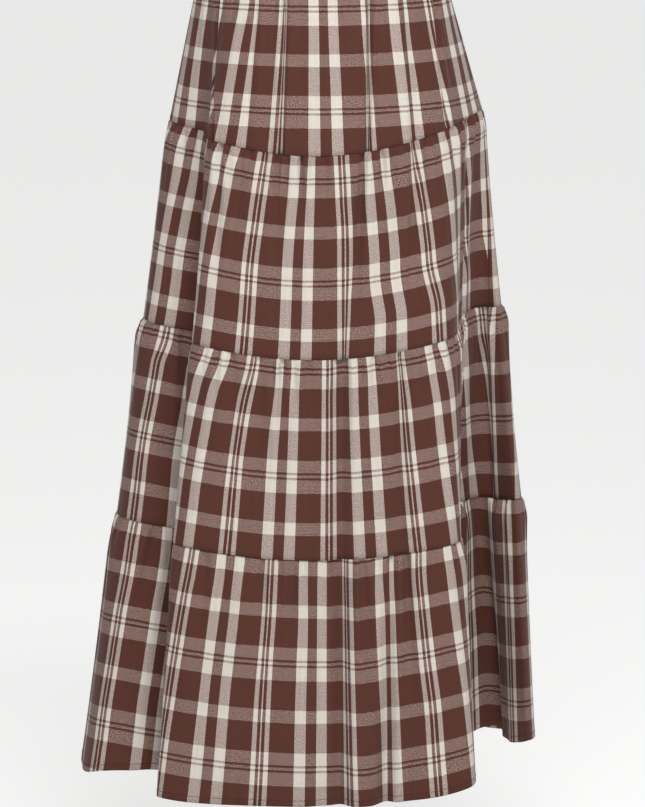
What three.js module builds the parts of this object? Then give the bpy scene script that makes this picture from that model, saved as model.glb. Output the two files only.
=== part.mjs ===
// A long four-tier gathered skirt in checked cotton, as it hangs when worn.
// Millimetres, +Z up, front towards -Y. The origin is the middle of the waist's top edge.
import * as THREE from "three";

// Cloth and sewing
const CLOTH = 1.6;
const SEAM_GAP = 0.3;
const BAND = { height: 38, wall: 2.8, halfWidth: 124, halfDepth: 86, ruck: 0.9 };
const BAND_FOOT = { halfWidth: 131, halfDepth: 91 };

// Each tier: cloth length, how much shorter its sides are cut, how much higher the right hip
// carries it, height of its gathers and how far the gathered head stands proud
const TIERS = [
  { name: "tier_1", length: 229, sideRise: 28, hipTilt: 3.5, gather: 3.2, puff: 1.5 },
  { name: "tier_2", length: 230, sideRise: 0, hipTilt: 0, gather: 3.0, puff: 3.5 },
  { name: "tier_3", length: 227, sideRise: 0, hipTilt: 0, gather: 3.6, puff: 5.0 },
  { name: "tier_4", length: 280, sideRise: 0, hipTilt: 0, gather: 4.4, puff: 4.5 },
];

// The large folds that run down the skirt, in plan, counted from the front centre round by the
// right side: where each lies at the hips, at the knees and at the hem
const FOLDS = [
  { fold: "front_centre", hips: [4, -128], knees: [0, -168], hem: [-2, -192] },
  { fold: "front_right", hips: [84, -118], knees: [88, -170], hem: [98, -188] },
  { fold: "right_edge", hips: [146, -84], knees: [172, -170], hem: [194, -214] },
  { fold: "right_wall", hips: [160, -44], knees: [152, -72], hem: [162, -92] },
  { fold: "right_inner", hips: [172, -22], knees: [150, 8], hem: [158, 22] },
  { fold: "right_pocket", hips: [180, 0], knees: [192, 70], hem: [200, 100] },
  { fold: "right_side_fold", hips: [188, 22], knees: [232, -28], hem: [242, -88] },
  { fold: "right_side_back", hips: [182, 60], knees: [238, 72], hem: [260, 58] },
  { fold: "right_back_valley", hips: [152, 92], knees: [176, 120], hem: [186, 130] },
  { fold: "right_back_fold", hips: [112, 122], knees: [150, 190], hem: [170, 222] },
  { fold: "back_right_valley", hips: [64, 126], knees: [76, 150], hem: [84, 160] },
  { fold: "back_fold", hips: [6, 140], knees: [6, 212], hem: [-4, 244] },
  { fold: "back_left_valley", hips: [-60, 130], knees: [-80, 160], hem: [-96, 168] },
  { fold: "left_back_fold", hips: [-116, 122], knees: [-160, 180], hem: [-186, 208] },
  { fold: "left_back_valley", hips: [-150, 86], knees: [-188, 100], hem: [-206, 112] },
  { fold: "left_side_back", hips: [-166, 48], knees: [-232, 50], hem: [-272, 30] },
  { fold: "left_side_fold", hips: [-176, 6], knees: [-238, -62], hem: [-280, -138] },
  { fold: "left_side_front", hips: [-160, -30], knees: [-198, -84], hem: [-228, -158] },
  { fold: "left_pocket", hips: [-128, -40], knees: [-98, -62], hem: [-94, -72] },
  { fold: "left_edge_in", hips: [-126, -74], knees: [-142, -88], hem: [-152, -128] },
  { fold: "left_edge", hips: [-128, -100], knees: [-188, -148], hem: [-212, -188] },
  { fold: "front_left", hips: [-78, -124], knees: [-92, -168], hem: [-102, -196] },
];

// Levels count the seams from the top: band foot 1, hips 2, third tier 3, knees 4, hem 5
const HIPS = 2;
const KNEES = 4;

// Gathers round each tier, each drawn with four columns: rest, crest, rest, hollow
const GATHERS = 48;
const QUARTERS = 4;
const COLUMNS = GATHERS * QUARTERS;
const WAVE = [0, 1, 0, -1];
const SEAM_GATHERS = [GATHERS / 4, (GATHERS * 3) / 4];
const ROW_SHARES = [0, 0.1, 0.45, 1];
const ARC_STEPS = 880;
const TIGHT_RADIUS = 26;

const CLOTH_BROWN = new THREE.Color(0x8a6a5e);
const BAND_BROWN = new THREE.Color(0x6b463b);

// Plan curve at one level below the hips: a smooth closed line held by the folds
class FoldRing extends THREE.Curve {
  constructor(level) {
    super();
    this.arcLengthDivisions = ARC_STEPS;
    const lower = level >= KNEES;
    const from = lower ? "knees" : "hips";
    const to = lower ? "hem" : "knees";
    const share = lower ? level - KNEES : (level - HIPS) / (KNEES - HIPS);
    this.posts = FOLDS.map((row) => new THREE.Vector2(...row[from]).lerp(new THREE.Vector2(...row[to]), share));
  }

  // Uniform cubic B-spline through the posts
  getPoint(t, target = new THREE.Vector2()) {
    const count = this.posts.length;
    const place = (t - Math.floor(t)) * count;
    const first = Math.floor(place);
    const f = place - first;
    const weights = [
      (1 - f) ** 3 / 6,
      (3 * f ** 3 - 6 * f ** 2 + 4) / 6,
      (-3 * f ** 3 + 3 * f ** 2 + 3 * f + 1) / 6,
      f ** 3 / 6,
    ];
    target.set(0, 0);
    weights.forEach((weight, i) => target.addScaledVector(this.posts[(first + i - 1 + count) % count], weight));
    return target;
  }
}

// Oval plan curve of the waistband, from the front centre round by the right side
class WaistRing extends THREE.Curve {
  constructor(halfWidth, halfDepth) {
    super();
    this.arcLengthDivisions = ARC_STEPS;
    this.halfWidth = halfWidth;
    this.halfDepth = halfDepth;
  }

  getPoint(t, target = new THREE.Vector2()) {
    const angle = t * Math.PI * 2;
    return target.set(this.halfWidth * Math.sin(angle), -this.halfDepth * Math.cos(angle));
  }
}

const waistTop = new WaistRing(BAND.halfWidth, BAND.halfDepth);
const waistFoot = new WaistRing(BAND_FOOT.halfWidth, BAND_FOOT.halfDepth);
const hipRing = new FoldRing(HIPS);

// Point of the plan at a level and a share of the way round
function planAt(level) {
  if (level >= HIPS) {
    const ring = new FoldRing(level);
    return (share) => ring.getPointAt(share - Math.floor(share));
  }
  return (share) => {
    const turn = share - Math.floor(share);
    return waistFoot.getPointAt(turn).lerp(hipRing.getPointAt(turn), level - 1);
  };
}

// Outward direction of a plan curve at a share of the way round
function outwardAt(plan, share) {
  const reach = 0.0015;
  const along = plan(share + reach).sub(plan(share - reach)).normalize();
  return new THREE.Vector2(along.y, -along.x);
}

// How freely the cloth gathers at a place: 1 where the plan is flat, less where a fold turns tightly
function gatherRoom(plan, share) {
  const reach = 0.007;
  const before = outwardAt(plan, share - reach);
  const after = outwardAt(plan, share + reach);
  const girth = plan(share + reach).distanceTo(plan(share - reach));
  const bend = Math.acos(THREE.MathUtils.clamp(before.dot(after), -1, 1)) / girth;
  return 1 / (1 + (bend * TIGHT_RADIUS) ** 2);
}

const fade = (x, from, to) => THREE.MathUtils.smoothstep(x, from, to);

// Gathers are uneven in width, but one always ends at each side seam
function gatherEdge(index) {
  const uneven = index % SEAM_GATHERS[0] === 0 ? 0 : 0.24 * Math.sin(index * 2.39);
  return (index + uneven) / GATHERS;
}

function columnShare(column) {
  const index = Math.floor(column / QUARTERS);
  const part = (column % QUARTERS) / QUARTERS;
  return THREE.MathUtils.lerp(gatherEdge(index), gatherEdge(index + 1), part);
}

// How far a column of gathered cloth stands from the tier's plain curve
function gatherHeight(tier, tierIndex, column, row, room) {
  const index = Math.floor(column / QUARTERS) % GATHERS;
  const uneven = 1 + 0.4 * Math.sin(index * 1.7 + tierIndex * 2.1);
  const freed = 0.3 + 0.7 * fade(row, 0, ROW_SHARES[1]);
  const settled = 0.1 + 0.9 * (1 - row) ** 1.5;
  const puff = tier.puff * fade(row, 0, ROW_SHARES[1]) * (1 - row) ** 2;
  return room * (tier.gather * uneven * freed * settled * WAVE[column % QUARTERS] + puff);
}

// Cloth length of a tier at a share of the way round: short over the hips, longest at the front
function clothLength(tier, share) {
  const side = 0.5 - 0.5 * Math.cos(share * Math.PI * 4);
  return tier.length - tier.sideRise * side - tier.hipTilt * Math.sin(share * Math.PI * 2);
}

// Height of every column's points, walked down the cloth so that slanted cloth keeps its length
function tierRows(tier, tierIndex, headHeights) {
  let heights = headHeights;
  let lastPlan = planAt(tierIndex + 1);
  return ROW_SHARES.map((row, i) => {
    const plan = planAt(tierIndex + 1 + row);
    const step = i === 0 ? 0 : row - ROW_SHARES[i - 1];
    heights = heights.map((height, column) => {
      const share = columnShare(column);
      const length = clothLength(tier, share) * step;
      const slant = Math.min(plan(share).distanceTo(lastPlan(share)), length * 0.8);
      return height - Math.sqrt(length ** 2 - slant ** 2);
    });
    lastPlan = plan;
    return { row, plan, heights };
  });
}

// Closed solid of a wall given by its outer and inner points, as rows of columns. Facing edges of
// neighbours are split along the same diagonal, so that a twisted seam keeps its gap
function wallGeometry(outer, inner, closed) {
  const rows = outer.length;
  const columns = outer[0].length;
  const points = [...outer.flat(), ...inner.flat()];
  const innerStart = rows * columns;
  const triangles = [];
  const quad = (a, b, c, d) => triangles.push(a, b, c, a, c, d);
  const spans = closed ? columns : columns - 1;
  const at = (row, column) => row * columns + (column % columns);
  for (let column = 0; column < spans; column += 1) {
    for (let row = 0; row < rows - 1; row += 1) {
      const corners = [at(row, column), at(row + 1, column), at(row + 1, column + 1), at(row, column + 1)];
      quad(...corners);
      quad(...corners.map((corner) => corner + innerStart).reverse());
    }
    const head = [at(0, column), at(0, column + 1)];
    const foot = [at(rows - 1, column), at(rows - 1, column + 1)];
    quad(head[0], head[1], head[1] + innerStart, head[0] + innerStart);
    quad(foot[0], foot[0] + innerStart, foot[1] + innerStart, foot[1]);
  }
  if (!closed) {
    for (let row = 0; row < rows - 1; row += 1) {
      const start = [at(row, 0), at(row + 1, 0)];
      const end = [at(row, columns - 1), at(row + 1, columns - 1)];
      quad(start[1], start[0], start[0] + innerStart, start[1] + innerStart);
      quad(end[1], end[1] + innerStart, end[0] + innerStart, end[0]);
    }
  }
  const geometry = new THREE.BufferGeometry();
  const positions = points.flatMap((point) => [point.x, point.y, point.z]);
  geometry.setAttribute("position", new THREE.Float32BufferAttribute(positions, 3));
  geometry.setIndex(triangles);
  geometry.computeVertexNormals();
  return geometry;
}

function wallMesh(name, outer, inner, closed, color) {
  const material = new THREE.MeshStandardMaterial({ color, roughness: 0.9, metalness: 0 });
  const mesh = new THREE.Mesh(wallGeometry(outer, inner, closed), material);
  mesh.name = name;
  return mesh;
}

// Elastic waistband: one closed ring, rucked a little by its elastic
function waistband() {
  const rows = [
    { plan: waistTop, height: 0 },
    { plan: waistFoot, height: -BAND.height + SEAM_GAP / 2 },
  ];
  const columns = COLUMNS / 2;
  const wall = (offset) => rows.map(({ plan, height }) => Array.from({ length: columns }, (_, column) => {
    const share = column / columns;
    const round = (turn) => plan.getPointAt(turn - Math.floor(turn));
    const ruck = column % 2 === 0 ? BAND.ruck : 0;
    const point = round(share).addScaledVector(outwardAt(round, share), offset + ruck);
    return new THREE.Vector3(point.x, point.y, height);
  }));
  return wallMesh("waistband", wall(0), wall(-BAND.wall), true, BAND_BROWN);
}

// One panel of a tier, from one side seam to the other
function tierPanel(tier, tierIndex, rows, side, firstGather) {
  const first = firstGather * QUARTERS;
  const span = COLUMNS / 2;
  const wall = (offset) => rows.map(({ row, plan, heights }, rowIndex) => {
    const lift = rowIndex === 0 ? -SEAM_GAP / 2 : 0;
    const drop = rowIndex === rows.length - 1 && tierIndex < TIERS.length - 1 ? SEAM_GAP / 2 : 0;
    return Array.from({ length: span + 1 }, (_, i) => {
      const column = first + i;
      const share = columnShare(column % COLUMNS);
      const outward = outwardAt(plan, share);
      const along = new THREE.Vector2(-outward.y, outward.x);
      const inset = i === 0 ? SEAM_GAP / 2 : i === span ? -SEAM_GAP / 2 : 0;
      const out = gatherHeight(tier, tierIndex, column, row, gatherRoom(plan, share)) + offset;
      const point = plan(share).addScaledVector(outward, out).addScaledVector(along, inset);
      return new THREE.Vector3(point.x, point.y, heights[column % COLUMNS] + lift + drop);
    });
  });
  return wallMesh(`${tier.name}_${side}`, wall(0), wall(-CLOTH), false, CLOTH_BROWN);
}

function skirt() {
  const group = new THREE.Group();
  group.add(waistband());
  let heads = Array.from({ length: COLUMNS }, () => -BAND.height);
  TIERS.forEach((tier, tierIndex) => {
    const rows = tierRows(tier, tierIndex, heads);
    group.add(tierPanel(tier, tierIndex, rows, "back", SEAM_GATHERS[0]));
    group.add(tierPanel(tier, tierIndex, rows, "front", SEAM_GATHERS[1]));
    heads = rows[rows.length - 1].heights;
  });
  return group;
}

export default skirt();
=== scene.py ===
import math

import bpy
import numpy as np
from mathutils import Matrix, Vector


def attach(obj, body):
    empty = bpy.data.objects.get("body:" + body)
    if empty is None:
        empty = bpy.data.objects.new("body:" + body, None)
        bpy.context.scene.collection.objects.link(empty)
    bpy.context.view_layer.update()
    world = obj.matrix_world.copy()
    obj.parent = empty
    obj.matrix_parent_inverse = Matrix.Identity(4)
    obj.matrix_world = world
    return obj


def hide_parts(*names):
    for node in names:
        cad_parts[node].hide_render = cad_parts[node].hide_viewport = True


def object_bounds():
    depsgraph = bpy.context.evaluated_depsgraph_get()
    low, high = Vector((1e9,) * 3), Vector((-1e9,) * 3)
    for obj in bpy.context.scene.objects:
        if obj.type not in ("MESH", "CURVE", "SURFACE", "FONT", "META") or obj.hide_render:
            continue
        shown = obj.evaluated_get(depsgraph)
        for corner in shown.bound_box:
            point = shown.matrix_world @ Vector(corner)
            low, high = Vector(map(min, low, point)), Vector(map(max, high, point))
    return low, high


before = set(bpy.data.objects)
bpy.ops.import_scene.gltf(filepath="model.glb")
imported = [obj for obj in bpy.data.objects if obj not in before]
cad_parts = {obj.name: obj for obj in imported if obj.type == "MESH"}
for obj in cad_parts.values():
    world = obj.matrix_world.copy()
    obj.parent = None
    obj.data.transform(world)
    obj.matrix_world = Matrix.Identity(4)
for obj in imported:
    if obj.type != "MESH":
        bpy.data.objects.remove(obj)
cad_low, cad_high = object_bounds()


# Elastic waistband
# A casing of the same checked cotton, folded over wide elastic that rucks it into fine upright
# wrinkles. Its raw edges are caught in the seam of the first tier.
MM = 0.001
BAND_HEIGHT = 38 * MM
BAND_WALL = 2.8 * MM
BAND_CLOTH_WIDTH = 0.95
WAIST_TOP_HALF = (124 * MM, 86 * MM)
WAIST_FOOT_HALF = (131 * MM, 91 * MM)
LINE_POINTS = 3600
BAND_COLUMNS = 720
BAND_WRINKLES = 118
WRINKLE_OUT = 0.75 * MM
WRINKLE_DRIFT = 2.2
WRINKLE_AT_EDGES = 0.35
UNEVEN_WRINKLES = 0.28

# Colours of the dyed yarn, and how much cream shows where the two yarns differ. They look redder
# there, and less so where the cream is in the warp
BROWN_YARN = (0.086, 0.029, 0.0195)
CREAM_YARN = (0.625, 0.585, 0.52)
CREAM_IN_WARP = 0.54
CREAM_IN_WEFT = 0.23
MIXED_TINT = (0.99, 0.83, 0.83)
TINT_IN_WARP = 0.45
YARN_WAVER = 0.7 * MM
TONE = 0.80
STREAK_TONE = 0.22
CROSS_STREAK_TONE = 0.14

# One repeat of the check in millimetres of cloth: the stripes of the warp from left to right,
# and those of the weft from the top down
WARP_STRIPES = [
    ("cream", 13.2), ("brown", 12.7), ("cream", 12.7), ("brown", 29.9), ("cream", 5.5),
    ("brown", 3.7), ("cream", 1.7), ("brown", 3.8), ("cream", 5.5), ("brown", 29.8),
]
WEFT_STRIPES = [
    ("cream", 14.1), ("brown", 2.6), ("cream", 3.1), ("brown", 2.6), ("cream", 15.2),
    ("brown", 33.2), ("cream", 14.6), ("brown", 33.6),
]


def new_group(name, inputs, outputs):
    tree = bpy.data.node_groups.new(name, "ShaderNodeTree")
    for label in inputs:
        tree.interface.new_socket(label, in_out="INPUT", socket_type="NodeSocketFloat")
    for label, kind in outputs:
        tree.interface.new_socket(label, in_out="OUTPUT", socket_type=kind)
    return tree


def math_node(tree, operation, *values):
    node = tree.nodes.new("ShaderNodeMath")
    node.operation = operation
    for socket, value in zip(node.inputs, values):
        if isinstance(value, bpy.types.NodeSocket):
            tree.links.new(value, socket)
        else:
            socket.default_value = value
    return node.outputs[0]


def noise_node(tree, vector, scale, stretch=(1, 1, 1), detail=2.0):
    spread = tree.nodes.new("ShaderNodeVectorMath")
    spread.operation = "MULTIPLY"
    tree.links.new(vector, spread.inputs[0])
    spread.inputs[1].default_value = stretch
    noise = tree.nodes.new("ShaderNodeTexNoise")
    noise.inputs["Scale"].default_value = scale
    noise.inputs["Detail"].default_value = detail
    tree.links.new(spread.outputs[0], noise.inputs["Vector"])
    return noise.outputs[0]


def cream_stripes(tree, place, stripes):
    """1 where the yarn at a place across the cloth, in metres, is cream, and 0 where it is brown."""
    repeat = sum(width for _, width in stripes) * MM
    turn = math_node(tree, "FRACT", math_node(tree, "DIVIDE", place, repeat))
    along = math_node(tree, "MULTIPLY", turn, repeat)
    total, start = 0.0, 0.0
    for yarn, width in stripes:
        if yarn == "cream":
            middle = (start + width / 2) * MM
            stripe = math_node(tree, "COMPARE", along, middle, width / 2 * MM)
            total = math_node(tree, "ADD", stripe, total)
        start += width
    return total


def woven_check():
    """Node group of the yarn-dyed check: its colour, and the height of its yarns and slubs. Fleck is
    how strongly the heather is speckled."""
    outputs = [("Color", "NodeSocketColor"), ("Height", "NodeSocketFloat")]
    tree = new_group("woven_check", ["Fleck"], outputs)
    given = tree.nodes.new("NodeGroupInput")
    cut = tree.nodes.new("ShaderNodeUVMap")
    cut.uv_map = "cut"
    place = cut.outputs[0]
    split = tree.nodes.new("ShaderNodeSeparateXYZ")
    tree.links.new(place, split.inputs[0])
    across, down = split.outputs[0], split.outputs[1]

    # Yarns run a little unevenly, so the edges of the stripes do too
    waver = math_node(tree, "SUBTRACT", noise_node(tree, place, scale=420), 0.5)
    across = math_node(tree, "MULTIPLY_ADD", waver, YARN_WAVER, across)
    down = math_node(tree, "MULTIPLY_ADD", waver, -YARN_WAVER, down)
    warp = cream_stripes(tree, across, WARP_STRIPES)
    weft = cream_stripes(tree, down, WEFT_STRIPES)

    # Where cream crosses brown, both yarns show as a fine heather
    both = math_node(tree, "MULTIPLY", warp, weft)
    some = math_node(tree, "MAXIMUM", warp, weft)
    mixed = math_node(tree, "SUBTRACT", some, both)
    heather = math_node(tree, "SUBTRACT", noise_node(tree, place, scale=850), 0.5)
    share = math_node(tree, "MULTIPLY", warp, CREAM_IN_WARP)
    share = math_node(tree, "MULTIPLY_ADD", weft, CREAM_IN_WEFT, share)
    share = math_node(tree, "MULTIPLY_ADD", both, 1 - CREAM_IN_WARP - CREAM_IN_WEFT, share)
    fleck = math_node(tree, "MULTIPLY", heather, mixed)
    share = math_node(tree, "MULTIPLY_ADD", fleck, given.outputs["Fleck"], share)
    yarns = tree.nodes.new("ShaderNodeMix")
    yarns.data_type = "RGBA"
    yarns.clamp_factor = True
    tree.links.new(share, yarns.inputs["Factor"])
    yarns.inputs["A"].default_value = (*BROWN_YARN, 1)
    yarns.inputs["B"].default_value = (*CREAM_YARN, 1)
    blush = tree.nodes.new("ShaderNodeMix")
    blush.data_type = "RGBA"
    redder = math_node(tree, "MULTIPLY_ADD", warp, TINT_IN_WARP - 1, 1.0)
    redder = math_node(tree, "MULTIPLY", mixed, redder)
    tree.links.new(redder, blush.inputs["Factor"])
    blush.inputs["A"].default_value = (1, 1, 1, 1)
    blush.inputs["B"].default_value = (*MIXED_TINT, 1)
    tinted = tree.nodes.new("ShaderNodeVectorMath")
    tinted.operation = "MULTIPLY"
    tree.links.new(yarns.outputs["Result"], tinted.inputs[0])
    tree.links.new(blush.outputs["Result"], tinted.inputs[1])

    # Thicker and thinner yarns make faint streaks down the cloth, and fainter ones across
    streak = noise_node(tree, place, scale=260, stretch=(1, 0.035, 1))
    cross_streak = noise_node(tree, place, scale=230, stretch=(0.04, 1, 1))
    tone = math_node(tree, "MULTIPLY_ADD", streak, STREAK_TONE, TONE)
    tone = math_node(tree, "MULTIPLY_ADD", cross_streak, CROSS_STREAK_TONE, tone)
    toned = tree.nodes.new("ShaderNodeVectorMath")
    toned.operation = "SCALE"
    tree.links.new(tinted.outputs[0], toned.inputs[0])
    tree.links.new(tone, toned.inputs["Scale"])

    grain = noise_node(tree, place, scale=900, detail=3.0)
    height = math_node(tree, "MULTIPLY_ADD", streak, 0.8, grain)
    out = tree.nodes.new("NodeGroupOutput")
    tree.links.new(toned.outputs[0], out.inputs["Color"])
    tree.links.new(height, out.inputs["Height"])
    return tree


check_group = woven_check()


def cotton_material(name, bump, fleck):
    """Brushed cotton: matt, with a little nap that catches light at the edges of the folds."""
    material = bpy.data.materials.new(name)
    material.use_nodes = True
    tree = material.node_tree
    cloth = tree.nodes["Principled BSDF"]
    cloth.inputs["Roughness"].default_value = 0.88
    cloth.inputs["Specular IOR Level"].default_value = 0.22
    cloth.inputs["Sheen Weight"].default_value = 0.10
    cloth.inputs["Sheen Roughness"].default_value = 0.45
    check = tree.nodes.new("ShaderNodeGroup")
    check.node_tree = check_group
    check.inputs["Fleck"].default_value = fleck
    relief = tree.nodes.new("ShaderNodeBump")
    relief.inputs["Strength"].default_value = bump
    relief.inputs["Distance"].default_value = 0.35 * MM
    tree.links.new(check.outputs["Color"], cloth.inputs["Base Color"])
    tree.links.new(check.outputs["Height"], relief.inputs["Height"])
    tree.links.new(relief.outputs["Normal"], cloth.inputs["Normal"])
    return material


def cloth_mesh(name, points, flat, material, ring=False):
    """A mesh of rows down and columns across the cloth. flat gives each corner's place in the flat
    cloth, in metres. A ring closes both ways, and then flat has one more row and column."""
    rows, columns = points.shape[:2]
    spans = (rows, columns) if ring else (rows - 1, columns - 1)
    row, column = np.meshgrid(np.arange(spans[0]), np.arange(spans[1]), indexing="ij")
    corners = [(row, column), (row + 1, column), (row + 1, column + 1), (row, column + 1)]
    faces = np.stack([(r % rows) * columns + c % columns for r, c in corners], -1).reshape(-1, 4)
    places = np.stack([flat[r, c] for r, c in corners], 2).reshape(-1, 2)
    mesh = bpy.data.meshes.new(name)
    mesh.from_pydata(points.reshape(-1, 3).tolist(), [], faces.tolist())
    layer = mesh.uv_layers.new(name="cut")
    layer.data.foreach_set("uv", places.ravel().astype(np.float32))
    mesh.shade_smooth()
    mesh.materials.append(material)
    piece = bpy.data.objects.new(name, mesh)
    bpy.context.scene.collection.objects.link(piece)
    return piece


def even_line(points):
    """A closed plan line again, with LINE_POINTS points evenly spaced from its first."""
    loop = np.vstack([points, points[:1]])
    steps = np.hypot(*np.diff(loop, axis=0).T)
    run = np.concatenate([[0.0], np.cumsum(steps)])
    at = np.linspace(0, run[-1], LINE_POINTS, endpoint=False)
    return np.column_stack([np.interp(at, run, loop[:, 0]), np.interp(at, run, loop[:, 1])])


def waist_line(half):
    """Oval plan line of the waist, from the front centre round by the right side."""
    angle = np.linspace(0, 2 * math.pi, LINE_POINTS, endpoint=False)
    return even_line(np.column_stack([half[0] * np.sin(angle), -half[1] * np.cos(angle)]))


def at_turn(line, turns):
    """Points of a closed plan line at shares of the way round."""
    place = (turns % 1.0) * LINE_POINTS
    low = np.floor(place).astype(int)
    part = (place - low)[:, None]
    return line[low % LINE_POINTS] * (1 - part) + line[(low + 1) % LINE_POINTS] * part


def outward(line, turns, reach=0.0015):
    """Directions out of the skirt, square to its plan line."""
    along = at_turn(line, turns + reach) - at_turn(line, turns - reach)
    along /= np.hypot(along[:, 0], along[:, 1])[:, None]
    return np.column_stack([along[:, 1], -along[:, 0]])


waist_top = waist_line(WAIST_TOP_HALF)
waist_foot = waist_line(WAIST_FOOT_HALF)


def band_wrinkles(turns, down):
    """How far the rucked casing stands out: uneven upright wrinkles, held flat at both edges."""
    drift = 0.35 * np.sin(2 * math.pi * (turns * 3 + down * 0.35))
    drift += 0.2 * np.sin(2 * math.pi * 7 * turns)
    phase = 2 * math.pi * (turns * BAND_WRINKLES + drift * WRINKLE_DRIFT)
    wave = np.sin(2 * math.pi * (turns * 37 + 0.4 * down))
    uneven = 1 - UNEVEN_WRINKLES + UNEVEN_WRINKLES * wave
    between = np.sin(math.pi * np.clip(down, 0, 1)) ** 0.5
    free = WRINKLE_AT_EDGES + (1 - WRINKLE_AT_EDGES) * between
    return WRINKLE_OUT * free * uneven * np.sin(phase)


# Section of the casing: up its outside, over the fold at the top and down its inside
outside_rows = np.linspace(1, 0.06, 12)
fold_angles = np.linspace(0.12 * math.pi, 0.88 * math.pi, 5)
casing = [(0.0, row) for row in outside_rows]
casing += [
    (BAND_WALL / 2 * (math.cos(angle) - 1), 0.045 * (1 - math.sin(angle))) for angle in fold_angles
]
casing += [(-BAND_WALL, row) for row in outside_rows[::-1]]
casing = casing[::-1]
band_turns = np.arange(BAND_COLUMNS) / BAND_COLUMNS
band_points = []
for out, row in casing:
    plan = waist_top * (1 - row) + waist_foot * row
    ruck = band_wrinkles(band_turns, np.full(BAND_COLUMNS, row))
    place = at_turn(plan, band_turns) + outward(plan, band_turns) * (out + ruck)[:, None]
    band_points.append(np.column_stack([place, np.full(BAND_COLUMNS, -row * BAND_HEIGHT)]))
band_points = np.array(band_points)
section_steps = np.linalg.norm(np.diff(band_points[:, 0], axis=0), axis=1)
section_run = np.concatenate([[0.0], np.cumsum(section_steps), [section_steps.sum() + BAND_WALL]])
band_across = np.arange(BAND_COLUMNS + 1) / BAND_COLUMNS * BAND_CLOTH_WIDTH
band_flat = np.stack(np.meshgrid(section_run, band_across, indexing="ij"), -1)[..., ::-1]
waistband_cotton = cotton_material("waistband_cotton", bump=0.35, fleck=1.8)
elastic_waistband = cloth_mesh(
    "elastic_waistband", band_points, band_flat, waistband_cotton, ring=True,
)
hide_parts("waistband")
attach(elastic_waistband, "root")


# Stitching
# Rows of brown thread, in short stitches: one holds the elastic's casing just above its seam, and
# another, made with the fourth tier, holds the hem.
STITCH_STEP = 2.9 * MM
STITCH_HALF = (1.0 * MM, 0.25 * MM)
STITCH_OUT = (-0.2 * MM, 0.3 * MM)
thread = bpy.data.materials.new("thread")
thread.use_nodes = True
thread_fibre = thread.node_tree.nodes["Principled BSDF"]
thread_fibre.inputs["Base Color"].default_value = (0.035, 0.014, 0.010, 1)
thread_fibre.inputs["Roughness"].default_value = 0.6


def stitch_row(name, line):
    """Small flat stitches along a row of points that goes round the skirt towards its right side."""
    steps = np.linalg.norm(np.diff(line, axis=0), axis=1)
    run = np.concatenate([[0.0], steps.cumsum()])
    count = int(run[-1] / STITCH_STEP)
    at = (np.arange(count) + 0.5) * run[-1] / count
    place, before, after = (
        np.column_stack([np.interp(at + shift * MM, run, line[:, axis]) for axis in range(3)])
        for shift in (0, -1, 1)
    )
    along = after - before
    along /= np.linalg.norm(along, axis=1)[:, None]
    out = np.column_stack([along[:, 1], -along[:, 0], np.zeros(count)])
    out /= np.linalg.norm(out, axis=1)[:, None]
    up = np.cross(out, along)
    corners = []
    for a, b, c in ((a, b, c) for c in STITCH_OUT for b in (-1, 1) for a in (-1, 1)):
        corners.append(place + along * a * STITCH_HALF[0] + up * b * STITCH_HALF[1] + out * c)
    sides = [(0, 1, 3, 2), (4, 6, 7, 5), (0, 4, 5, 1), (2, 3, 7, 6), (0, 2, 6, 4), (1, 5, 7, 3)]
    faces = [tuple(i * 8 + k for k in side) for i in range(count) for side in sides]
    mesh = bpy.data.meshes.new(name)
    mesh.from_pydata(np.stack(corners, 1).reshape(-1, 3).tolist(), [], faces)
    mesh.materials.append(thread)
    row = bpy.data.objects.new(name, mesh)
    bpy.context.scene.collection.objects.link(row)
    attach(row, "root")
    return row


band_line = np.vstack([band_points[-2], band_points[-2][:1]])
band_stitching = stitch_row("band_stitching", band_line)


# First tier
# A front and a back of checked cotton, gathered into the waistband and shaped over the hips: their
# foot is cut short at the sides. The two are sewn together down the sides.
COLUMNS = 960
ROWS = 44
ROWS_CLOSER_AT_HEAD = 1.25
STEEPEST_SLANT = 0.8
SHEET_THICK = 0.8 * MM
SEAM_TUCK = 2.5 * MM
TUCK_IN = -1.1 * MM
NEXT_ROW_IN = 0.35
SEAM_HOLD = 5 * MM
LOOSE_IN_SEAM = 0.15
SIDE_GROOVE = 0.35 * MM
SIDE_GROOVE_HALF = 1.2 * MM
HIPS = 2
KNEES = 4
GATHERS = 48
SIDE_TURNS = (0.25, 0.75)
TIGHT_RADIUS = 26 * MM

# Main gathers: how unevenly they are spaced and stand out, how much of them is left in the seam and
# at the foot of the tier, how soon they die away, and how far below the seam they are free
UNEVEN_SPACING = 0.24
UNEVEN_GATHERS = 0.4
GATHERS_IN_SEAM = 0.2
GATHERS_AT_FOOT = 0.1
GATHERS_DIE_AWAY = 1.5
FREE_BELOW = 0.1

# Small puckers: their half widths and heights in millimetres, the shortest, and how much longer the
# longest, as a share of the tier, how far they stray and lean, how they widen and die away on the
# way down, and how much of the gathered width they hide
PUCKER_HALF = (2.2, 4.6)
PUCKER_HEIGHT = (1.0, 4.0)
PUCKER_SHORTEST = 0.15
PUCKER_LONGER = 0.5
PUCKER_STRAY = 0.35
PUCKER_LEAN = 0.004
PUCKER_WIDENS = 0.6
PUCKER_DIES_AWAY = 1.3
HIDDEN_IN_PUCKERS = 0.42

# Creases: how softly they start and end, as a share of the tier, the soft ridges on either side,
# in half widths and as a share of the depth, and how narrowly they take up cloth
CREASE_EASE = 0.12
RIDGE_AT = 1.9
RIDGE = 0.28
TAKES_NARROWLY = 1.3
checked_cotton = cotton_material("checked_cotton", bump=0.35, fleck=1.8)

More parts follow.
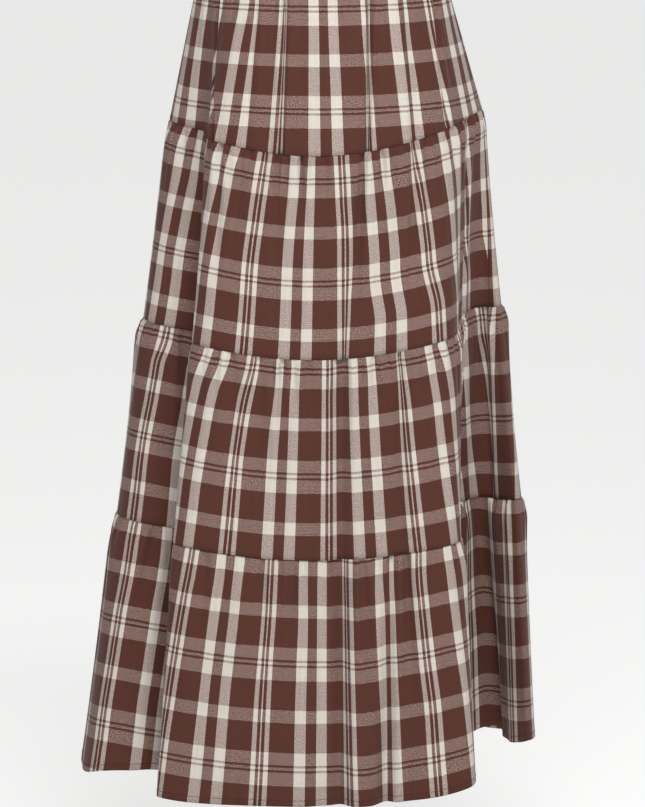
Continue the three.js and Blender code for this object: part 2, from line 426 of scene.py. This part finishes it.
# The large folds that run down the skirt, in plan and in millimetres, counted from the front
# centre round by the right side: where each lies at the hips, at the knees and at the hem
FOLDS = [
    ("front_centre", (4, -128), (0, -168), (-2, -192)),
    ("front_right", (84, -118), (88, -170), (98, -188)),
    ("right_edge", (146, -84), (172, -170), (194, -214)),
    ("right_wall", (160, -44), (152, -72), (162, -92)),
    ("right_inner", (172, -22), (150, 8), (158, 22)),
    ("right_pocket", (180, 0), (192, 70), (200, 100)),
    ("right_side_fold", (188, 22), (232, -28), (242, -88)),
    ("right_side_back", (182, 60), (238, 72), (260, 58)),
    ("right_back_valley", (152, 92), (176, 120), (186, 130)),
    ("right_back_fold", (112, 122), (150, 190), (170, 222)),
    ("back_right_valley", (64, 126), (76, 150), (84, 160)),
    ("back_fold", (6, 140), (6, 212), (-4, 244)),
    ("back_left_valley", (-60, 130), (-80, 160), (-96, 168)),
    ("left_back_fold", (-116, 122), (-160, 180), (-186, 208)),
    ("left_back_valley", (-150, 86), (-188, 100), (-206, 112)),
    ("left_side_back", (-166, 48), (-232, 50), (-272, 30)),
    ("left_side_fold", (-176, 6), (-238, -62), (-280, -138)),
    ("left_side_front", (-160, -30), (-198, -84), (-228, -158)),
    ("left_pocket", (-128, -40), (-98, -62), (-94, -72)),
    ("left_edge_in", (-126, -74), (-142, -88), (-152, -128)),
    ("left_edge", (-128, -100), (-188, -148), (-212, -188)),
    ("front_left", (-78, -124), (-92, -168), (-102, -196)),
]
posts = np.array([row[1:] for row in FOLDS], float) * MM


def fold_line(level):
    """Plan line at a level: a smooth closed B-spline held by the folds' posts."""
    lower = level >= KNEES
    share = level - KNEES if lower else (level - HIPS) / (KNEES - HIPS)
    held = posts[:, 1 + lower] * share + posts[:, 0 + lower] * (1 - share)
    place = np.linspace(0, len(held), LINE_POINTS * 2, endpoint=False)
    first = np.floor(place).astype(int)
    f = place - first
    weights = [(1 - f) ** 3, 3 * f**3 - 6 * f**2 + 4, -3 * f**3 + 3 * f**2 + 3 * f + 1, f**3]
    line = sum(held[(first + i - 1) % len(held)] * w[:, None] / 6 for i, w in enumerate(weights))
    return even_line(line)


hip_line = fold_line(HIPS)


def plan_line(level):
    """Plan line at a level counted by the seams: waistband's foot 1, hips 2, knees 4, hem 5."""
    if level >= HIPS:
        return fold_line(level)
    return waist_foot * (HIPS - level) + hip_line * (level - 1)


def fade(x, start, end):
    """Rises smoothly from 0 at start to 1 at end."""
    t = np.clip((x - start) / (end - start), 0, 1)
    return t * t * (3 - 2 * t)


def gather_room(line, turns, reach=0.007):
    """How freely the cloth gathers: 1 where the plan is flat, less where a fold turns tightly."""
    before, after = outward(line, turns - reach), outward(line, turns + reach)
    girth = np.hypot(*(at_turn(line, turns + reach) - at_turn(line, turns - reach)).T)
    bend = np.arccos(np.clip((before * after).sum(1), -1, 1)) / girth
    return 1 / (1 + (bend * TIGHT_RADIUS) ** 2)


gather_count = np.arange(GATHERS + 1)
astray = UNEVEN_SPACING * np.sin(gather_count * 2.39)
gather_edges = (gather_count + np.where(gather_count % (GATHERS // 4) == 0, 0, astray)) / GATHERS


def main_gathers(tier, turns, row):
    """The tier's main gathers, as its solid has them, and the puff of its gathered head."""
    turns = turns % 1.0
    index = np.clip(np.searchsorted(gather_edges, turns, side="right") - 1, 0, GATHERS - 1)
    part = (turns - gather_edges[index]) / (gather_edges[index + 1] - gather_edges[index])
    uneven = 1 + UNEVEN_GATHERS * np.sin(index * 1.7 + tier["number"] * 2.1)
    free = fade(row, 0, FREE_BELOW)
    freed = GATHERS_IN_SEAM + (1 - GATHERS_IN_SEAM) * free
    settled = GATHERS_AT_FOOT + (1 - GATHERS_AT_FOOT) * (1 - row) ** GATHERS_DIE_AWAY
    wave = np.sin(2 * math.pi * part) * uneven * freed * settled
    puff = free * (1 - row) ** 2
    return (wave * tier["gather"] * tier["main_share"] + puff * tier["puff"]) * MM


def turn_gap(turns, middle):
    """Signed way round from a middle, as a share of the whole, the short way."""
    return (turns - middle + 0.5) % 1.0 - 0.5


def small_gathers(tier, turns, downs, head_girth):
    """Many small puckers under the seam, uneven in place, width, depth and length."""
    draw = np.random.default_rng(tier["seed"])
    relief = np.zeros(downs.shape)
    count = tier["small_gathers"]
    for i in range(count):
        middle = (i + draw.uniform(-PUCKER_STRAY, PUCKER_STRAY)) / count
        half = draw.uniform(*PUCKER_HALF) * MM / head_girth
        height = draw.uniform(*PUCKER_HEIGHT) * MM * (1 if i % 2 else -1)
        length = tier["length"] * MM * (PUCKER_SHORTEST + PUCKER_LONGER * draw.random() ** 2)
        lean = draw.uniform(-PUCKER_LEAN, PUCKER_LEAN)
        near = np.abs(turn_gap(turns, middle)) < half * 4 + abs(lean)
        way = turn_gap(turns[near], middle)[None, :] - lean * downs[:, near] / length
        widen = 1 + PUCKER_WIDENS * downs[:, near] / length
        across = np.exp(-((way / (half * widen)) ** 2))
        lasts = np.clip(1 - downs[:, near] / length, 0, 1) ** PUCKER_DIES_AWAY
        relief[:, near] += height * across * lasts
    return relief


def turn_at(line, side, place_x):
    """Share of the way round where the front or the back of a plan line has an X place."""
    middle = 0.0 if side == "front" else 0.5
    window = middle + np.linspace(-0.19, 0.19, 760)
    xs = at_turn(line, window)[:, 0]
    first, last = sorted((int(xs.argmin()), int(xs.argmax())))
    window, xs = window[first : last + 1], xs[first : last + 1]
    order = slice(None) if xs[0] < xs[-1] else slice(None, None, -1)
    return float(np.interp(place_x, xs[order], window[order]))


def creases(tier, turns, rows, lines, girths):
    """The creases and soft folds given in the tier's table: how far each stands in or out of the plain
    cloth, how much width of cloth it takes up at each point, and how much more or less a deep pocket
    between two large folds holds than its form shows."""
    relief = np.zeros((len(rows), len(turns)))
    taken = np.zeros(relief.shape)
    pockets = np.zeros(relief.shape)
    for side, start, end, top, foot in tier["creases"]:
        for i, row in enumerate(rows):
            down = (row - start) / (end - start)
            ease = CREASE_EASE / (end - start)
            lasts = 1.0 if start <= 0 else fade(down, -ease, ease)
            lasts *= 1.0 if end >= 1 else 1 - fade(down, 1 - ease, 1 + ease)
            if lasts <= 0:
                continue
            along = min(max(down, 0), 1)
            place, depth, half, takes = (a + (b - a) * along for a, b in zip(top, foot))
            turn = place / 1000
            if side in ("front", "back"):
                turn = turn_at(lines[i], side, place * MM)
            way = turn_gap(turns, turn) * girths[i] / (half * MM)
            ridges = RIDGE * np.exp(-((np.abs(way) - RIDGE_AT) ** 2))
            relief[i] += depth * MM * lasts * (np.exp(-(way**2)) - ridges)
            share = np.exp(-((way * TAKES_NARROWLY) ** 2))
            widths = pockets if side == "pocket" else taken
            widths[i] += takes * MM * lasts * share / share.sum()
    return relief, taken, pockets


def cloth_length(tier, turns):
    """Cloth length of a tier round the skirt: the first is cut short over the hips, and the last
    hangs unevenly."""
    side = 0.5 - 0.5 * np.cos(turns * 4 * math.pi)
    tilt = tier["hip_tilt"] * np.sin(turns * 2 * math.pi)
    length = tier["length"] - tier["side_rise"] * side - tilt
    for turn, longer, half in tier["uneven_hem"]:
        length += longer * np.exp(-((turn_gap(turns, turn) / half) ** 2))
    return length * MM


def tier_surface(tier, seam):
    """Outer face of a whole tier: its points, each one's place across and down the flat cloth, and
    the seam at its foot. A seam is its line's heights and how far it stands out of the plan."""
    head_heights, head_relief = seam
    turns = np.arange(COLUMNS) / COLUMNS
    rows = np.linspace(0, 1, ROWS) ** ROWS_CLOSER_AT_HEAD
    length = cloth_length(tier, turns)
    lines = [plan_line(tier["number"] + 1 + row) for row in rows]
    places = np.array([at_turn(line, turns) for line in lines])
    slants = np.hypot(*np.moveaxis(np.diff(places, axis=0), -1, 0))
    steps = np.diff(rows)[:, None] * length[None, :]
    falls = np.sqrt(steps**2 - np.minimum(slants, steps * STEEPEST_SLANT) ** 2)
    heights = head_heights - np.vstack([np.zeros(COLUMNS), np.cumsum(falls, axis=0)])
    downs = rows[:, None] * length[None, :]
    girths = np.array([np.hypot(*np.diff(np.vstack([p, p[:1]]), axis=0).T).sum() for p in places])

    gathers = np.array([main_gathers(tier, turns, row) for row in rows])
    puckers = small_gathers(tier, turns, downs, girths[0])
    room = np.array([gather_room(line, turns) for line in lines])
    folds, pleats, pockets = creases(tier, turns, rows, lines, girths)
    held = 1 - fade(downs, 0, SEAM_HOLD)
    free = 1 - (1 - LOOSE_IN_SEAM) * held
    relief = ((gathers + puckers) * room + folds) * free + head_relief * held
    foot_relief = relief[-1].copy()
    for side in SIDE_TURNS:
        way = turn_gap(turns, side) * girths[:, None] / SIDE_GROOVE_HALF
        relief -= SIDE_GROOVE * np.exp(-(way**2))
    relief[0] += TUCK_IN
    relief[1] += TUCK_IN * NEXT_ROW_IN
    faces = np.array([outward(line, turns) for line in lines])
    points = np.dstack([places + faces * relief[..., None], heights])

    # The cloth's own width runs evenly along the plan, but for what the creases take up, what the
    # hollows of the puckers hide, and what the pockets between the large folds hold
    loops = np.concatenate([places, places[:, :1]], axis=1)
    steps = np.hypot(*np.moveaxis(np.diff(loops, axis=1), -1, 0))
    hollows = np.clip(-puckers, 0, None) * room
    spare = tier["width"] - steps.sum(axis=1) - pleats.sum(axis=1)
    widths = pleats + hollows * HIDDEN_IN_PUCKERS * spare[0] / hollows.sum(axis=1).max()
    widths += steps * ((tier["width"] - widths.sum(axis=1)) / steps.sum(axis=1))[:, None]
    widths += pockets
    run = np.concatenate([np.zeros((ROWS, 1)), widths.cumsum(axis=1)], axis=1)
    for turn, top, foot, half in tier["lower"]:
        near = np.exp(-((turn_gap(turns, turn) / half) ** 2))
        downs = downs - (top + (foot - top) * rows[:, None]) * MM * near

    # The head is tucked up behind the seam
    points = np.concatenate([points[:1] + np.array([0, 0, SEAM_TUCK]), points])
    downs = np.concatenate([downs[:1] - SEAM_TUCK, downs])
    run = np.concatenate([run[:1], run])
    if tier["hem"]:
        # A hem is turned up inside: rows above the foot, millimetres inside and up, and cloth used
        turn_up = [(0, 0.9, -0.3, 1), (0, 1.9, 0.3, 2), (1, 2.0, 0, 10), (2, 2.0, 0, tier["hem"] + 3)]
        inward = -np.column_stack([faces[-1], np.zeros(COLUMNS)])
        for above, inside, up, used in turn_up:
            turned = points[ROWS - above] + inward * inside * MM + np.array([0, 0, up * MM])
            points = np.concatenate([points, turned[None]])
            downs = np.concatenate([downs, downs[ROWS : ROWS + 1] + used * MM])
            run = np.concatenate([run, run[-1:]])
    return points, run, downs, (heights[-1], foot_relief)


def tier_panels(tier, seam):
    """The front and the back of a tier, each a thin sheet, and the seam at the tier's foot."""
    points, run, downs, foot_seam = tier_surface(tier, seam)
    quarter = COLUMNS // 4
    left_of_centre = run[:, 3 * quarter :] - run[:, -1:]
    right_of_centre = run[:, 1 : quarter + 1]
    front = np.concatenate([left_of_centre, right_of_centre], axis=1)
    right_seam = run[:, quarter : quarter + 1]
    back = run[:, quarter : 3 * quarter + 1] - right_seam + tier["width"] / 4
    made = {}
    for side, first, place in (("back", quarter, back), ("front", 3 * quarter, front)):
        columns = np.arange(first, first + COLUMNS // 2 + 1) % COLUMNS
        flat = np.dstack([
            place + tier["warp_start"][side] * MM,
            downs[:, columns] * tier["slack"] + tier["weft_start"] * MM,
        ])
        name = f"{tier['name']}_{side}"
        panel = cloth_mesh(f"{name}_cloth", points[:, columns], flat, checked_cotton)
        thickness = panel.modifiers.new("thickness", "SOLIDIFY")
        thickness.thickness = SHEET_THICK
        thickness.offset = -1
        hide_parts(name)
        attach(panel, "root")
        made[side] = panel
    return made, foot_seam


# A tier's table gives the whole width of its cloth in metres, its length in millimetres and how much
# shorter it is cut at the sides. gather, puff and main_share are the height of its main gathers, of
# its puffed head and the share of the gathers that the cloth keeps. slack is how much cloth there is
# for the length that shows, and the starts are where the check begins, in millimetres
tier_1 = {
    "name": "tier_1", "number": 0, "width": 1.045, "length": 229, "side_rise": 28, "hip_tilt": 3.5,
    "gather": 3.2, "puff": 1.5, "main_share": 0.35, "small_gathers": 150, "seed": 11, "slack": 1.029,
    "warp_start": {"front": 16.0, "back": 40.0}, "weft_start": -166.2,
    "hem": 0, "lower": [], "uneven_hem": [],
    # side, start, end, then at the top and at the foot: X, depth, half width, width taken up. In rows
    # marked round or pocket, the place is in thousandths of the way round instead of X
    "creases": [
        ("front", 0.0, 1.0, (-110, -7.0, 3.5, 14), (-123, -6.0, 4, 10)),
        ("front", 0.0, 1.0, (-70, -3.4, 4, 12), (-83, -1.2, 6, 7)),
        ("front", 0.0, 1.0, (-38, -6.8, 3, 13), (-44, -4.8, 3, 6)),
        ("front", 0.0, 0.55, (6, -1.6, 7, 2), (4, -0.8, 9, 1)),
        ("front", 0.0, 1.0, (58, -7.4, 3, 13), (54, -6.0, 3, 14)),
        ("front", 0.0, 1.0, (94, -3.8, 5, 10), (107, -3.2, 4, 13)),
        ("front", 0.0, 1.0, (122, -6.4, 3.5, 10), (145, -4.6, 4, 6)),
        ("back", 0.0, 1.0, (-96, -3.4, 5, 12), (-116, -2.0, 6, 8)),
        ("back", 0.0, 1.0, (-58, -6.4, 3.5, 13), (-72, -4.0, 4, 6)),
        ("back", 0.0, 0.8, (-12, -3.0, 6, 10), (-16, -1.0, 8, 4)),
        ("back", 0.0, 1.0, (34, -7.0, 3, 13), (40, -5.2, 3.5, 8)),
        ("back", 0.0, 0.9, (72, -3.0, 5, 9), (86, -1.2, 7, 3)),
        ("back", 0.0, 1.0, (104, -6.0, 3.5, 11), (126, -4.4, 4, 8)),
    ],
}
waist_seam = (np.full(COLUMNS, -BAND_HEIGHT), np.zeros(COLUMNS))
tier_1_panels, tier_1_foot = tier_panels(tier_1, waist_seam)


# Second tier
# A straight strip of checked cotton, gathered along its head into the foot of the first tier.
tier_2 = {
    "name": "tier_2", "number": 1, "width": 1.275, "length": 230, "side_rise": 0, "hip_tilt": 0,
    "gather": 3.0, "puff": 3.5, "main_share": 0.4, "small_gathers": 150, "seed": 23, "slack": 1.03,
    "warp_start": {"front": 49.8, "back": 29.0}, "weft_start": -11.2,
    "hem": 0, "lower": [], "uneven_hem": [],
    "creases": [
        ("front", 0.0, 0.5, (-46, -4.8, 3.5, 5), (-51, -1.8, 6, 1)),
        ("front", 0.0, 0.45, (-21, -4.4, 3.5, 3), (-15, -1.8, 5, 1)),
        ("front", 0.0, 0.3, (-8, -2.0, 5, 5), (-8, -0.6, 7, 1)),
        ("front", 0.0, 0.35, (6, -2.4, 4, 6), (8, -0.8, 6, 1)),
        ("front", 0.0, 0.4, (-84, -2.8, 5, 5), (-88, -0.8, 7, 1)),
        ("front", 0.0, 0.72, (50, -7.6, 3.5, 13), (39, -3.4, 7, 9)),
        ("front", 0.62, 1.0, (33, -1.6, 6, 2), (28, -3.2, 4, 8)),
        ("front", 0.0, 0.7, (106, -5.6, 3.5, 6), (104, -1.8, 6, 2)),
        ("front", 0.0, 0.6, (-112, -5.0, 4, 6), (-118, -1.8, 6, 2)),
        ("front", 0.02, 0.22, (70, -4.5, 4, 4), (72, -2.4, 5, 2)),
        ("pocket", 0.0, 1.0, (180, 0, 30, 5), (172, 0, 42, -20)),
        ("round", 0.0, 1.0, (207, -4, 5, 0), (208, -7, 6, 0)),
        ("round", 0.0, 1.0, (253, 0, 4, 17), (253, 0, 4, 0)),
        ("pocket", 0.0, 1.0, (815, 0, 18, 12), (830, 0, 30, -14)),
        ("back", 0.0, 0.7, (-88, -3.4, 5, 8), (-96, -1.2, 8, 3)),
        ("back", 0.0, 1.0, (-34, -6.4, 4, 9), (-40, -3.4, 6, 6)),
        ("back", 0.0, 0.5, (14, -2.6, 6, 6), (16, -1.0, 8, 2)),
        ("back", 0.0, 0.9, (62, -6.6, 4, 10), (70, -2.8, 7, 6)),
        ("back", 0.0, 0.6, (112, -3.0, 5, 6), (122, -1.2, 8, 2)),
    ],
}
tier_2_panels, tier_2_foot = tier_panels(tier_2, tier_1_foot)


# Third tier
# The next strip, a quarter wider again, gathered into the foot of the second tier.
tier_3 = {
    "name": "tier_3", "number": 2, "width": 1.61, "length": 227, "side_rise": 0, "hip_tilt": 0,
    "gather": 3.6, "puff": 5.0, "main_share": 0.4, "small_gathers": 170, "seed": 37, "slack": 1.0,
    "warp_start": {"front": 67.3, "back": 30.0}, "weft_start": 5.3, "hem": 0,
    "lower": [(0.78, -3, -4, 0.04)], "uneven_hem": [],
    "creases": [
        ("front", 0.0, 0.6, (-96, -2.6, 7, 4), (-104, -1.6, 9, 2)),
        ("front", 0.0, 0.5, (-66, -5.6, 7, 4), (-72, -2.4, 9, 1)),
        ("front", 0.0, 0.45, (-42, -4.6, 4.5, 5), (-43, -1.4, 7, 1)),
        ("front", 0.04, 0.25, (-52, -5.0, 4, 4), (-50, -3.0, 5, 3)),
        ("front", 0.03, 0.20, (-30, -4.0, 4, 1.5), (-29, -2.4, 5, 1)),
        ("front", 0.02, 0.18, (-98, -4.5, 4, 2), (-99, -2.4, 6, 1)),
        ("front", 0.02, 0.22, (62, -4.5, 4, 4), (64, -2.4, 6, 2)),
        ("front", 0.0, 1.0, (24, -9.0, 8, 15), (24, -7.5, 9, 11)),
        ("front", 0.0, 1.0, (90, -6.6, 4, 8), (92, -3.4, 9, 5)),
        ("front", 0.0, 0.8, (128, -3.0, 6, 4), (140, -1.6, 9, 2)),
        ("pocket", 0.0, 1.0, (171, 0, 44, 82), (163, 0, 72, 53)),
        ("round", 0.0, 1.0, (213, -6, 6, 0), (215, -8, 7, 0)),
        ("round", 0.0, 0.95, (245, -4.0, 5, 6), (248, -3.2, 5, 4)),
        ("pocket", 0.0, 1.0, (845, 0, 30, -2), (845, 0, 40, -17)),
        ("back", 0.0, 0.8, (-120, -3.2, 7, 6), (-132, -1.6, 10, 3)),
        ("back", 0.0, 1.0, (-52, -4.8, 11, 8), (-56, -4.0, 14, 6)),
        ("back", 0.0, 0.6, (-6, -2.6, 6, 5), (-4, -1.2, 9, 2)),
        ("back", 0.0, 1.0, (44, -4.4, 10, 7), (48, -3.6, 13, 6)),
        ("back", 0.0, 0.7, (104, -3.2, 7, 6), (114, -1.4, 10, 3)),
    ],
}
tier_3_panels, tier_3_foot = tier_panels(tier_3, tier_2_foot)


# Fourth tier
# The widest and longest strip, gathered into the foot of the third tier and hemmed at its own foot.
tier_4 = {
    "name": "tier_4", "number": 3, "width": 1.97, "length": 280, "side_rise": 0, "hip_tilt": 0,
    "gather": 4.4, "puff": 4.5, "main_share": 0.4, "small_gathers": 190, "seed": 53, "slack": 0.99,
    "warp_start": {"front": 28.5, "back": 26.6}, "weft_start": 21.0, "hem": 15,
    # where the check hangs lower or higher: place round the skirt, by how much at the top and at the
    # foot, half width
    "lower": [
        (0.028, 3.5, 3.5, 0.022), (0.102, 0, -6, 0.025), (0.78, -3, -4.5, 0.04), (0.232, -3, -9, 0.012),
    ],
    # where the hem hangs longer or shorter: place round the skirt, by how much, half width
    "uneven_hem": [
        (0.760, 13, 0.023), (0.812, -4, 0.012), (0.91, 6, 0.04),
        (0.102, -7, 0.022), (0.234, -6, 0.010), (0.264, 3, 0.012),
    ],
    "creases": [
        ("front", 0.0, 0.7, (-128, -3.0, 7, 5), (-142, -1.6, 10, 2)),
        ("front", 0.0, 0.5, (-62, -5.0, 4.5, 4), (-68, -1.8, 8, 1)),
        ("front", 0.0, 1.0, (16, -3.6, 12, 3), (14, -7.0, 17, 2)),
        ("front", 0.0, 1.0, (24, -7.0, 6, 13), (25, -7.5, 8, 13)),
        ("front", 0.0, 1.0, (48, 2.0, 14, 0), (46, 8.0, 22, 0)),
        ("front", 0.0, 1.0, (79, -5.0, 6, 12), (74, -11.0, 8, 18)),
        ("front", 0.0, 0.6, (98, -5.4, 4, 5), (104, -1.6, 8, 1)),
        ("front", 0.0, 0.8, (136, -3.2, 6, 4), (152, -1.8, 10, 2)),
        ("front", 0.02, 0.20, (-108, -5.0, 4, 2.5), (-112, -2.6, 6, 1.5)),
        ("front", 0.03, 0.24, (-30, -5.0, 4, 2), (-32, -2.6, 6, 1)),
        ("front", 0.02, 0.18, (66, -5.0, 4, 4), (67, -2.6, 6, 2)),
        ("pocket", 0.0, 1.0, (165, 0, 74, 64), (165, 0, 84, 72)),
        ("round", 0.0, 1.0, (237, -3.0, 8, 0), (239, -11.0, 10, 0)),
        ("round", 0.0, 1.0, (262, 2.0, 12, 0), (265, 4.0, 15, 0)),
        ("pocket", 0.0, 1.0, (850, 0, 36, -10), (850, 0, 44, -10)),
        ("back", 0.0, 0.8, (-140, -3.2, 7, 5), (-160, -2.4, 11, 3)),
        ("back", 0.0, 1.0, (-84, -4.8, 10, 7), (-96, -8.0, 14, 5)),
        ("back", 0.0, 1.0, (-20, -4.4, 8, 7), (-24, -6.0, 14, 5)),
        ("back", 0.0, 0.7, (36, -3.0, 6, 5), (42, -1.6, 10, 2)),
        ("back", 0.0, 1.0, (88, -4.8, 9, 7), (100, -8.0, 13, 5)),
        ("back", 0.0, 0.8, (138, -3.2, 7, 5), (156, -2.2, 11, 3)),
    ],
}
HEM_STITCH_UP = 0.85
tier_4_panels, _ = tier_panels(tier_4, tier_3_foot)
for side, panel in tier_4_panels.items():
    # The hem is turned up and stitched all round, a little above its fold
    grid = np.array([corner.co for corner in panel.data.vertices]).reshape(-1, COLUMNS // 2 + 1, 3)
    stitched = grid[ROWS] * (1 - HEM_STITCH_UP) + grid[ROWS - 1] * HEM_STITCH_UP
    stitches = stitch_row(f"hem_stitching_{side}", stitched)


# Floor and backdrop
# One wide pale floor under the skirt runs back out of sight, so that it is the backdrop too.
FLOOR_DROP = 0.12
FLOOR_HALF = 60.0
floor_mesh = bpy.data.meshes.new("floor")
floor_height = cad_low.z - FLOOR_DROP
floor_corners = [
    (x * FLOOR_HALF, y * FLOOR_HALF, floor_height) for x, y in ((-1, -1), (1, -1), (1, 1), (-1, 1))
]
floor_mesh.from_pydata(floor_corners, [], [(0, 1, 2, 3)])
floor = bpy.data.objects.new("floor", floor_mesh)
bpy.context.scene.collection.objects.link(floor)
floor_paint = bpy.data.materials.new("floor_paint")
floor_paint.use_nodes = True
floor_surface = floor_paint.node_tree.nodes["Principled BSDF"]
floor_surface.inputs["Base Color"].default_value = (0.45, 0.45, 0.45, 1)
floor_surface.inputs["Roughness"].default_value = 0.9
floor_surface.inputs["Specular IOR Level"].default_value = 0.1
floor_surface.inputs["Emission Color"].default_value = (1.0, 1.0, 0.995, 1)
floor_surface.inputs["Emission Strength"].default_value = 0.67
floor_mesh.materials.append(floor_paint)


# Light
# A white studio: even light all round, and one wide soft lamp in front, above the camera.
scene = bpy.context.scene
scene.view_settings.view_transform = "Standard"
studio = bpy.data.worlds.new("studio")
studio.use_nodes = True
studio_walls = studio.node_tree.nodes["Background"]
studio_walls.inputs["Color"].default_value = (1.0, 0.99, 0.985, 1)
studio_walls.inputs["Strength"].default_value = 0.29
scene.world = studio
MIDDLE = Vector((0, 0, (cad_low.z + cad_high.z) / 2))


def soft_lamp(name, place, size, power):
    lamp = bpy.data.lights.new(name, "AREA")
    lamp.shape = "ELLIPSE"
    lamp.size, lamp.size_y = size
    lamp.energy = power
    holder = bpy.data.objects.new(name, lamp)
    holder.location = place
    holder.rotation_euler = (MIDDLE - Vector(place)).to_track_quat("-Z", "Y").to_euler()
    scene.collection.objects.link(holder)


soft_lamp("front_lamp", (0.45, -2.6, 2.2), (2.2, 0.7), 111)


# Camera
# A long lens from eight metres in front, raised so that it looks down a little at the hems.
CAMERA_PLACE = (2.9 * MM, -8.0, 0.745)
CAMERA_AIM = (2.9 * MM, 0.0, -0.567)
CAMERA_LENS = 314.5
camera_data = bpy.data.cameras.new("camera")
camera_data.lens = CAMERA_LENS
camera_data.clip_end = 200
camera = bpy.data.objects.new("camera", camera_data)
camera.location = CAMERA_PLACE
camera_look = Vector(CAMERA_AIM) - Vector(CAMERA_PLACE)
camera.rotation_euler = camera_look.to_track_quat("-Z", "Y").to_euler()
scene.collection.objects.link(camera)
scene.camera = camera
